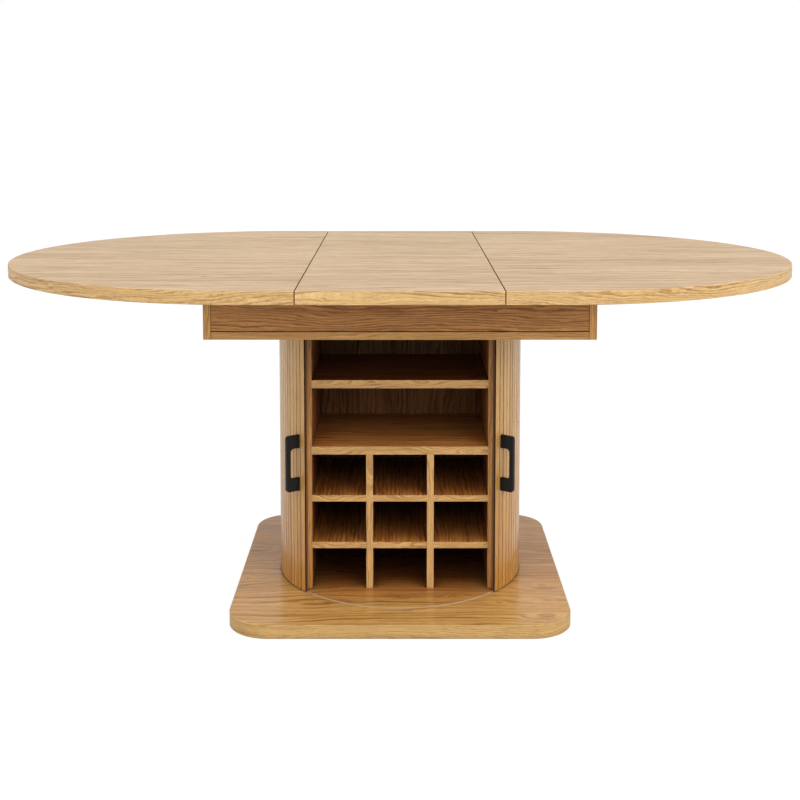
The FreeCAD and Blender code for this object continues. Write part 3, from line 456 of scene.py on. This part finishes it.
def oak_grain(tree, vector, tone, figure, streaks, flecks):
    """The outputs of the oak group, in the colours of a tone."""
    grain = tree.nodes.new("ShaderNodeGroup")
    grain.node_tree = OAK
    tree.links.new(vector, grain.inputs["Vector"])
    middle = Vector(TONES[tone])
    for socket, shade in (("Light", middle * PALEST), ("Middle", middle),
                          ("Dark", middle * DARKEST)):
        grain.inputs[socket].default_value = (*shade, 1.0)
    for socket, given in (("Figure", figure), ("Streaks", streaks), ("Flecks", flecks)):
        grain.inputs[socket].default_value = given
    return grain.outputs


def oak(name, tone, way, index, ring_width=0.011, run=4.0, figure=5.0, streaks=0.8, flecks=0.5,
        roughness=0.45, specular=0.35, lines=None, gloom=None, fades=()):
    """An oak surface.

    tone names its colours and way how its grain runs, and index moves the grain to a place of its
    own. ring_width is in metres, run is how many lengths of figure a metre holds, figure how many
    rings the grain bends by, and streaks and flecks how strong they are. lines names its dark
    edges, gloom says how painted shade darkens it where it is closed in, and fades are its painted
    shade and light along an axis.
    """
    material, tree = new_material(name)
    where = node(tree, "TexCoord").outputs["Object"]
    place = node(tree, "SeparateXYZ", {0: where}).outputs
    x, y, z = place["X"], place["Y"], place["Z"]
    vector = vector_calc(tree, "MULTIPLY_ADD", grain_vector(tree, way, place),
                         (run, 1 / ring_width, 1 / ring_width), OFFSET_STEP * index)
    if tone == "base":
        near_knot = knots(tree, x, y)
        bend = joined(tree, 0.0, calc(tree, "MULTIPLY", near_knot, KNOT_RINGS), 0.0)
        vector = vector_calc(tree, "ADD", vector, bend)
    grain = oak_grain(tree, vector, tone, figure, streaks, flecks)
    colour = grain["Color"]
    if tone == "slat":
        colour = scaled(tree, colour, slat_brightness(tree, x, y))
    # Painted shade and light along an axis.
    for axis, none, full, tint in fades:
        colour = tinted(tree, colour, remap(tree, place[axis], none, full), tint)
    # Painted shade darkens the colour in crevices; crevices and dark lines are also more matt.
    crevice_shade_and_matt = closeness(tree, *CREVICE)
    colour = tinted(tree, colour, crevice_shade_and_matt, STAIN_AND_CREVICE_SHADE)
    if tone == "base":
        # Redder wood and painted shade on the base board inside the cabinet and in front of the
        # rack.
        colour = tinted(tree, colour, inside_cabinet(tree, x, y), BAY_FLOOR_TONE_AND_SHADE)
        heart = remap(tree, near_knot, KNOT_HEART, 1.0, 0.0, KNOT_DARKNESS)
        colour = tinted(tree, colour, heart, STAIN_AND_CREVICE_SHADE)
    if tone == "apron_band":
        colour = tinted(tree, colour, at_apron_end(tree, x), END_STRIP)
    # Painted shade where the wood is closed in.
    if gloom:
        colour = tinted(tree, colour, closeness(tree, *gloom), PAINTED_DEEP_SHADE)
    if lines:
        dark_edges = edge_lines(tree, lines, x, y, z)
        colour = tinted(tree, colour, dark_edges, STAIN_AND_CREVICE_SHADE)
        crevice_shade_and_matt = calc(tree, "ADD", crevice_shade_and_matt, dark_edges)
    gloss = remap(tree, grain["Tone"], 0.0, 1.0, *(roughness + more for more in TONE_ROUGHNESS))
    finish_material(tree, Base_Color=colour, Roughness=calc(tree, "ADD", gloss, crevice_shade_and_matt, clamp=True),
                    Specular_IOR_Level=specular, Normal=bump(tree, grain["Height"], GRAIN_DEPTH))
    return material


# ---------------------------------------------------------------- other materials

PATCHES = 14.0  # broad patches in a metre of a speckled surface
PATCH_ROUGHNESS = 0.06  # how far roughness goes up and down with them

BRUSH_PILE = 900.0  # tufts in a metre of a brush strip
# The black at the drum's face is painted shade of a gap.
BRUSH_BROWN, GAP_SHADE_BLACK = (0.17, 0.08, 0.035, 1.0), (0.03, 0.015, 0.009, 1.0)
BROWN_DEPTH, GAP_SHADE_DEPTH = 0.0040, 0.0030  # how far in from the drum's face each colour is full
PILE_SHADES = (0.2, 0.8, 0.75, 1.2)  # from and to in the pile's noise, and its brightness there
PILE_ROUGHNESS = (0.85, 0.95)
PILE_DEPTH = 0.0001


def speckled(name, colour, roughness, metallic=0.0, scale=900.0, depth=0.00005, contrast=0.12,
             specular=0.5):
    """A moulded, painted or felted surface with a fine grain."""
    material, tree = new_material(name)
    where = node(tree, "TexCoord").outputs["Object"]
    fine = noise(tree, where, scale, scale, detail=2.0)
    broad = noise(tree, where, PATCHES, PATCHES, detail=3.0)
    factor = calc(tree, "MULTIPLY_ADD", calc(tree, "ADD", fine, broad), contrast, 1.0 - contrast)
    gloss = remap(tree, broad, 0.0, 1.0, roughness - PATCH_ROUGHNESS, roughness + PATCH_ROUGHNESS)
    finish_material(tree, Base_Color=scaled(tree, colour, factor), Metallic=metallic,
                    Specular_IOR_Level=specular, Roughness=gloss, Normal=bump(tree, fine, depth))
    return material


def brush_strip(name):
    """A door's closing strip: black at the drum's face as painted shade of a gap, brown further in.
    """
    material, tree = new_material(name)
    where = node(tree, "TexCoord").outputs["Object"]
    place = node(tree, "SeparateXYZ", {0: where}).outputs
    pile = noise(tree, where, BRUSH_PILE, BRUSH_PILE, detail=2.0)
    outer = remap(tree, from_middle(tree, place["X"], place["Y"]), DRUM_RADIUS - BROWN_DEPTH,
                  DRUM_RADIUS - GAP_SHADE_DEPTH)
    colour = scaled(tree, blend(tree, outer, BRUSH_BROWN, GAP_SHADE_BLACK),
                    remap(tree, pile, *PILE_SHADES))
    finish_material(tree, Base_Color=colour, Specular_IOR_Level=0.02,
                    Roughness=remap(tree, pile, 0.0, 1.0, *PILE_ROUGHNESS),
                    Normal=bump(tree, pile, PILE_DEPTH))
    return material


# ---------------------------------------------------------------- finishes on the nodes


def dress(name, material):
    """Puts a material on every slot of a node's object."""
    for slot in NODES[name].material_slots:
        slot.material = material


for index, name in enumerate(("left_top", "right_top", "leaf")):
    dress(name, oak("oak_" + name, "top", "x", index, ring_width=0.022, run=2.2, figure=3.5,
                    roughness=0.42, lines="seam_top"))
for index, name in enumerate(("left_top_edging", "right_top_edging", "leaf_edging")):
    dress(name, oak("oak_" + name, "edge", "round_top", index, ring_width=0.005, figure=8.0,
                    streaks=0.85, lines="seam"))
dress("base_plate", oak("oak_base", "base", "x", 5, ring_width=0.018, run=2.5, figure=8.0,
                        streaks=0.7, flecks=0.2, roughness=0.15, specular=0.18, gloom=BASE_GLOOM,
                        fades=BASE_PAINTED_SHADOW))
dress("base_edging", oak("oak_base_edging", "base_edge", "round_base", 38, ring_width=0.005,
                         figure=8.0, streaks=0.6, fades=FOOT_PAINTED_SHADE))
for index, name in enumerate(("left_side_panel", "right_side_panel")):
    dress(name, oak("oak_" + name, "cabinet", "z", 7 + index, ring_width=0.012, gloom=WALL_GLOOM))
dress("back_panel", oak("oak_back_panel", "back", "z", 9, ring_width=0.009, figure=9.0,
                        streaks=1.4, specular=0.08, gloom=BACK_GLOOM, fades=BACK_PAINTED_SHADE))
# The upper shelf takes the darker cabinet tone, partly as painted shade under the apron.
for index, (name, tone, gloom) in enumerate((("lower_shelf", "shelf", SHELF_GLOOM),
                                             ("upper_shelf", "cabinet", TOP_SHELF_GLOOM))):
    dress(name, oak("oak_" + name, tone, "x", 10 + index, ring_width=0.022, run=3.0, streaks=1.3,
                    gloom=gloom))
for index, name in enumerate(("left_rack_divider", "right_rack_divider")):
    dress(name, oak("oak_" + name, "cabinet", "y_upright", 12 + index, ring_width=0.012,
                    gloom=WALL_GLOOM))
RACK_BOARDS = [f"rack_board_{level}_{column}" for level in ("lower", "upper")
               for column in ("left", "middle", "right")]
for index, name in enumerate(RACK_BOARDS):
    dress(name, oak("oak_" + name, "board", "y", 14 + index, ring_width=0.009, figure=1.8,
                    streaks=2.3, gloom=BOARD_GLOOM))
dress("side_panel_bands", oak("oak_side_bands", "side_band", "z", 21, ring_width=0.006,
                              fades=BAND_PAINTED_LIGHT_AND_SHADE))
dress("shelf_bands", oak("oak_shelf_bands", "band", "x_upright", 22, ring_width=0.006, run=7.0,
                         figure=12.0))
dress("divider_bands", oak("oak_divider_bands", "band", "z", 23, ring_width=0.005, run=7.0,
                           figure=12.0))
dress("rack_board_bands", oak("oak_rack_board_bands", "band", "x_upright", 24, ring_width=0.005,
                              run=9.0, figure=16.0))
for index, name in enumerate(("apron_left_end", "apron_right_end")):
    dress(name, oak("oak_" + name, "apron", "y_upright", 25 + index, ring_width=0.010, run=5.0,
                    figure=10.0, streaks=1.1, flecks=0.8))
for index, name in enumerate(("apron_front_rail", "apron_rear_rail", "front_slide_bearer",
                              "rear_slide_bearer")):
    dress(name, oak("oak_" + name, "apron", "x_upright", 27 + index, ring_width=0.007, run=5.0,
                    figure=8.0, streaks=1.2, flecks=0.9, lines="apron"))
dress("apron_bottom_board", oak("oak_apron_bottom", "apron", "x", 31, ring_width=0.012))
dress("apron_edge_bands", oak("oak_apron_bands", "apron_band", "apron_band", 32,
                              ring_width=0.005, run=5.0, figure=8.0, lines="apron"))
for index, side in enumerate(("left", "right")):
    dress(f"{side}_door_slats", oak(f"oak_{side}_slats", "slat", "slat", 33 + index,
                                    ring_width=0.004, run=3.0, figure=2.0, roughness=0.22,
                                    specular=0.50, lines="slat", fades=SLAT_PAINTED_BOUNCE))
    dress(f"{side}_door_backing", speckled(f"canvas_{side}", (0.05, 0.042, 0.035), 0.85,
                                           scale=1400.0, contrast=0.3, specular=0.1))
    dress(f"{side}_door_bumper", brush_strip(f"brush_{side}"))
    dress(f"{side}_door_handle", speckled(f"handle_{side}", (0.013, 0.012, 0.0115), 0.42,
                                          scale=1600.0, specular=0.09))
for index, name in enumerate(("shelf_dowels", "apron_dowels")):
    dress(name, oak("beech_" + name, "band", "x", 36 + index, ring_width=0.004, roughness=0.6))
for name in NODES:
    if name.endswith("_screws"):
        dress(name, speckled("zinc_" + name, (0.62, 0.62, 0.60), 0.32, metallic=1.0, scale=500.0))
    elif name.endswith("_slide_channels"):
        dress(name, speckled("steel_" + name, (0.55, 0.55, 0.56), 0.3, metallic=1.0, scale=400.0))
    elif name.endswith("_runner"):
        dress(name, speckled("paint_" + name, (0.05, 0.05, 0.05), 0.5))
    elif name.endswith("_track"):
        dress(name, speckled("plastic_" + name, (0.60, 0.42, 0.23), 0.6, specular=0.2))
dress("glide_pads", speckled("felt", (0.22, 0.18, 0.14), 0.95, scale=700.0, depth=0.0004,
                             contrast=0.3))


# ---------------------------------------------------------------- handles

HANDLE_ANGLE = math.radians(53.48)  # from the front to the middle of each handle
HANDLE_REACH = 0.032
HANDLE_GRIP = 0.0095  # how thick it is where it is gripped
HANDLE_WIDTH = 0.011
HANDLE_FOOT = 0.029  # how high each of its two feet is
HANDLE_OUTER_ROUND = 0.0065
HANDLE_INNER_ROUND = 0.008
HANDLE_EASE = 0.0021  # how far the long edges are rounded over
HANDLE_SEAT = math.sqrt(DRUM_RADIUS ** 2 - (HANDLE_WIDTH / 2) ** 2)
ARC_STEPS = 8
EASE_STEPS = 4
TINY = 1e-6  # two places no further apart than this are the same


def add_object(name, data):
    """A new object in the scene."""
    made = bpy.data.objects.new(name, data)
    SCENE.collection.objects.link(made)
    return made


def arc(centre, radius, start, end):
    """Points on an arc, in degrees."""
    turns = [math.radians(start + (end - start) * step / ARC_STEPS)
             for step in range(ARC_STEPS + 1)]
    return [(centre[0] + radius * math.cos(turn), centre[1] + radius * math.sin(turn))
            for turn in turns]


def bow_outline(height):
    """The handle seen from its side: how far out, and how high."""
    outer, inner, grip = HANDLE_OUTER_ROUND, HANDLE_INNER_ROUND, HANDLE_REACH - HANDLE_GRIP
    top_foot = height - HANDLE_FOOT
    return [(0, 0), *arc((HANDLE_REACH - outer, outer), outer, -90, 0),
            *arc((HANDLE_REACH - outer, height - outer), outer, 0, 90), (0, height), (0, top_foot),
            *arc((grip - inner, top_foot - inner), inner, 90, 0),
            *arc((grip - inner, HANDLE_FOOT + inner), inner, 0, -90), (0, HANDLE_FOOT)]


def make_handle(side, turn):
    """A bow handle with rounded edges in the place of the plain one."""
    low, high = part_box(f"{side}_door_handle")
    form = bmesh.new()
    outline = bow_outline(high.z - low.z)
    near, far = ([form.verts.new((out, wide, up)) for out, up in outline]
                 for wide in (-HANDLE_WIDTH / 2, HANDLE_WIDTH / 2))
    form.faces.new(near)
    form.faces.new(far[::-1])
    count = len(outline)
    for index in range(count):
        after = (index + 1) % count
        form.faces.new((near[after], near[index], far[index], far[after]))
    bmesh.ops.recalc_face_normals(form, faces=form.faces)
    long_edges = [edge for edge in form.edges
                  if abs(edge.verts[0].co.y - edge.verts[1].co.y) < TINY
                  and max(vert.co.x for vert in edge.verts) > TINY]
    bmesh.ops.bevel(form, geom=long_edges, offset=HANDLE_EASE, segments=EASE_STEPS, profile=0.5,
                    affect="EDGES")
    for face in form.faces:
        face.smooth = True
    mesh = bpy.data.meshes.new(f"{side}_bow_handle")
    form.to_mesh(mesh)
    form.free()
    seat = Vector((HANDLE_SEAT * math.cos(turn), HANDLE_SEAT * math.sin(turn), low.z))
    mesh.transform(Matrix.Translation(seat) @ Matrix.Rotation(turn, 4, "Z"))
    mesh.materials.append(NODES[f"{side}_door_handle"].material_slots[0].material)
    handle = add_object(f"{side}_bow_handle", mesh)
    handle.modifiers.new("faces", "WEIGHTED_NORMAL")
    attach(handle, f"{side}_door")
    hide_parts(f"{side}_door_handle")


make_handle("left", -math.pi / 2 - HANDLE_ANGLE)
make_handle("right", -math.pi / 2 + HANDLE_ANGLE)


# ---------------------------------------------------------------- floor, light and camera


def seen_ray(tree):
    """One for camera, mirror and see-through rays, zero for the rays that carry soft light."""
    path = node(tree, "LightPath").outputs
    seen = calc(tree, "MAXIMUM", path["Is Camera Ray"], path["Is Glossy Ray"])
    return calc(tree, "MAXIMUM", seen, path["Is Transmission Ray"])


def make_floor():
    """A floor that looks white and shows a faint shadow, but gives less light than it shows."""
    mesh = bpy.data.meshes.new("floor")
    form = bmesh.new()
    corners = [form.verts.new((x * FLOOR_HALF, y * FLOOR_HALF, 0))
               for x, y in ((-1, -1), (1, -1), (1, 1), (-1, 1))]
    form.faces.new(corners)
    form.to_mesh(mesh)
    form.free()
    floor = add_object("floor", mesh)
    material, tree = new_material("pale_floor")
    white = (FLOOR_ALBEDO, FLOOR_ALBEDO, FLOOR_ALBEDO, 1.0)
    lit = node(tree, "BsdfDiffuse", {"Color": white}).outputs[0]
    glow = node(tree, "Emission", {"Strength": FLOOR_GLOW / (1 - FLOOR_SHARE)}).outputs[0]
    shown = node(tree, "MixShader", {0: FLOOR_SHARE, 1: glow, 2: lit}).outputs[0]
    surface = node(tree, "MixShader", {0: seen_ray(tree), 1: lit, 2: shown}).outputs[0]
    node(tree, "OutputMaterial", {"Surface": surface})
    mesh.materials.append(material)


def make_world():
    """A sky that looks white all over, but lights the front more than the rear."""
    world = bpy.data.worlds.new("studio")
    SCENE.world = world
    world.use_nodes = True
    tree = world.node_tree
    tree.nodes.clear()
    way = node(tree, "SeparateXYZ", {0: node(tree, "TexCoord").outputs["Generated"]}).outputs
    rearward = calc(tree, "MULTIPLY_ADD", way["X"], -SKY_TURN, way["Y"])
    given = remap(tree, rearward, -1.0, 1.0, FRONT_SKY, REAR_SKY)
    strength = remap(tree, seen_ray(tree), 0.0, 1.0, given, 1.0)
    sky = node(tree, "Background", {"Color": (1, 1, 1, 1), "Strength": strength})
    node(tree, "OutputWorld", {"Surface": sky.outputs[0]})


def make_key_light():
    """A large soft lamp from the front right, which itself stays out of sight."""
    lamp = bpy.data.lights.new("key_light", "AREA")
    lamp.shape, lamp.size, lamp.size_y, lamp.energy = "RECTANGLE", KEY_WIDTH, KEY_HEIGHT, KEY_POWER
    box = add_object("key_light", lamp)
    box.location = KEY_PLACE
    box.rotation_euler = (KEY_AIM - KEY_PLACE).to_track_quat("-Z", "Y").to_euler()
    box.visible_camera = False
    box.visible_glossy = False


def make_camera():
    """A camera before the middle of the table."""
    data = bpy.data.cameras.new("camera")
    data.sensor_width = SENSOR_MM
    data.lens = FOCAL_PIXELS / PICTURE_SIDE * SENSOR_MM
    data.shift_y = CAMERA_SHIFT
    camera = add_object("camera", data)
    camera.location = (0, -CAMERA_DISTANCE, CAMERA_HEIGHT)
    camera.rotation_euler = (math.radians(90 - CAMERA_PITCH), 0, 0)
    SCENE.camera = camera


make_floor()
make_world()
make_key_light()
make_camera()
SCENE.view_settings.view_transform = "Standard"
